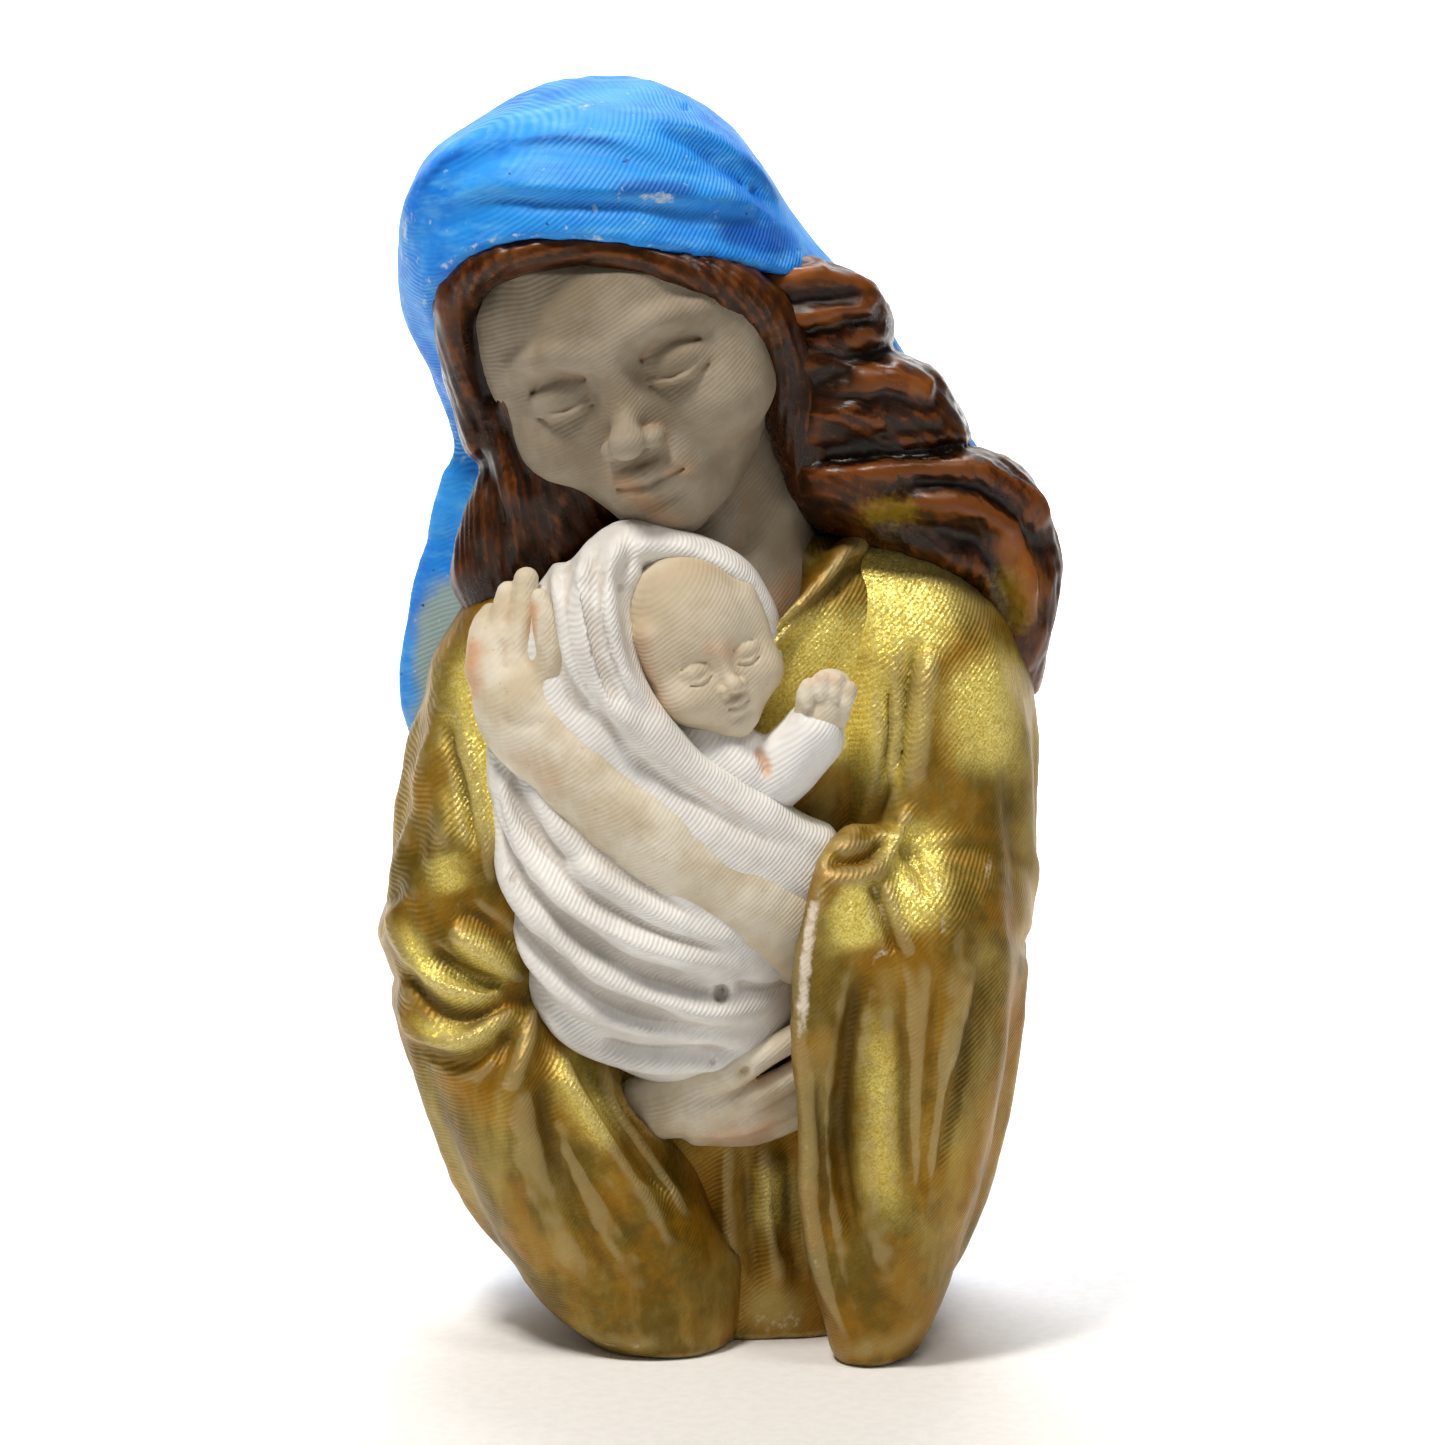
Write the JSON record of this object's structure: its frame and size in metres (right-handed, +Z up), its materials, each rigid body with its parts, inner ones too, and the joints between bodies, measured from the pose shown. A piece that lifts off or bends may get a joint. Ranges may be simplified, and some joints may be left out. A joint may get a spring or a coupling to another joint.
{
  "type": "madonna statue",
  "caption": "Free-standing painted plaster bust of a veiled mother, head bowed, holding a swaddled child, on a flat sole.",
  "frame": {"origin": "middle of the bounding box on the flat sole that the bust stands on", "axes": "+Z up to the crown of the veil, -Y the way the figure faces, +X towards the mother's left shoulder"},
  "size_m": [0.0798, 0.0558, 0.1482],
  "materials": {
    "veil": "satin blue acrylic paint over cast plaster, worn to white on the hem",
    "hair": "glossy dark brown lacquer, darker in the hollows",
    "skin": "bare cream plaster with a thin wash in the recesses",
    "cloth": "satin off-white paint over cast plaster",
    "shirt": "satin white paint over cast plaster",
    "robe": "gold metallic paint with glitter over cast plaster, thin on the edges"
  },
  "bodies": {
    "root": {"veil_hood": "veil", "veil_back": "veil", "hair_fringe": "hair", "hair_right_side": "hair", "hair_wave_top": "hair", "hair_wave_middle": "hair", "hair_wave_lower": "hair", "head": "skin", "neck": "skin", "left_forearm": "skin", "left_hand": "skin", "right_hand": "skin", "child_head": "skin", "child_hand": "skin", "child_shirt": "shirt", "swaddle_body": "cloth", "swaddle_hood": "cloth", "collar": "robe", "robe_body": "robe", "left_upper_sleeve": "robe", "right_upper_sleeve": "robe", "left_sleeve_drape": "robe", "right_sleeve_drape": "robe"}
  },
  "joints": []
}
